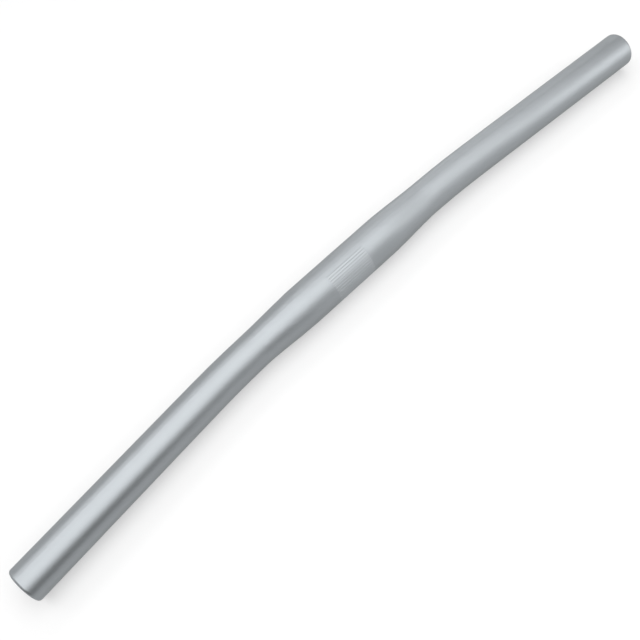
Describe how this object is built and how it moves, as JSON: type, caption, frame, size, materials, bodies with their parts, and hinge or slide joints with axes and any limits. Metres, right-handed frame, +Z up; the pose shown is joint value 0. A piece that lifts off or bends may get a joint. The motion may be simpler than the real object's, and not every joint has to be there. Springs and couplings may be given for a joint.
{
  "type": "flat handlebar",
  "caption": "Flat bicycle handlebar: a hollow aluminium tube, thicker in the middle, with both ends swept back a little and fine gripping lines at the stem clamp.",
  "frame": {"origin": "on the tube's axis at the middle of the stem clamp zone", "axes": "+X along the bar to its right end, +Z up and square to the plane the bar is bent in; both ends sweep back to -Y, towards the rider"},
  "size_m": [0.4816, 0.0373, 0.0254],
  "materials": {
    "aluminium": "satin silver, bead blasted and anodised"
  },
  "bodies": {
    "root": {"handlebar": "aluminium"}
  },
  "joints": []
}
